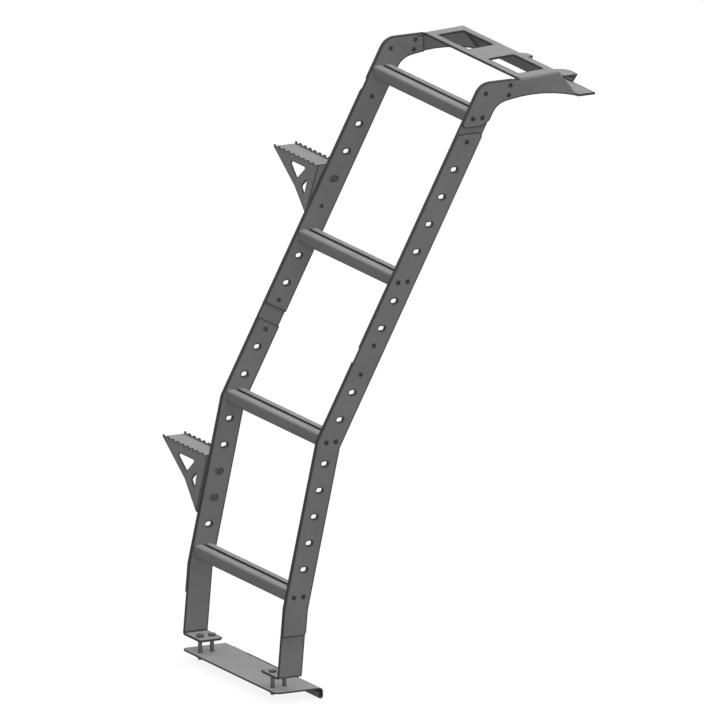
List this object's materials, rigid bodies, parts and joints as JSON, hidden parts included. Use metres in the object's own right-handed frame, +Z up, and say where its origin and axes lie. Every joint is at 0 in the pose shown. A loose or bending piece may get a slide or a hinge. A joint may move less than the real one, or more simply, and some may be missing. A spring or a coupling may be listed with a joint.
{
  "type": "van rear door ladder",
  "caption": "Bolt-on ladder for a van's rear door: two folded plate rails, slotted rungs, toothed side steps, a folded roof bracket and a clamped bottom hook plate.",
  "frame": {"origin": "middle of the underside of the roof bracket's foot flange, where the ladder stands on the edge of the van's roof", "axes": "+X across towards the right rail as seen from behind the van, +Y towards the front of the van, +Z up"},
  "size_m": [0.585, 0.6716, 1.16],
  "materials": {
    "rail_coat": "satin powder coat",
    "bracket_coat": "satin powder coat",
    "rung_coat": "satin powder coat",
    "step_coat": "satin powder coat",
    "hook_coat": "satin powder coat",
    "bolt_steel": "black zinc plated"
  },
  "bodies": {
    "root": {"roof_bracket": "bracket_coat", "roof_lug_centre": "bracket_coat", "roof_lug_right": "bracket_coat", "upper_inner_plate_left": "rail_coat", "upper_inner_plate_right": "rail_coat", "outer_rail_left": "rail_coat", "outer_rail_right": "rail_coat", "lower_inner_plate_left": "rail_coat", "lower_inner_plate_right": "rail_coat", "rung_1": "rung_coat", "rung_2": "rung_coat", "rung_3": "rung_coat", "rung_4": "rung_coat", "upper_step_bracket": "step_coat", "upper_step_tread": "step_coat", "lower_step_bracket": "step_coat", "lower_step_tread": "step_coat", "bottom_hook_plate": "hook_coat", "clamp_bolt_left_front": "bolt_steel", "clamp_bolt_left_rear": "bolt_steel", "clamp_bolt_right_front": "bolt_steel", "clamp_bolt_right_rear": "bolt_steel", "clamp_nut_left_front": "bolt_steel", "clamp_nut_left_rear": "bolt_steel", "clamp_nut_right_front": "bolt_steel", "clamp_nut_right_rear": "bolt_steel"}
  },
  "joints": []
}
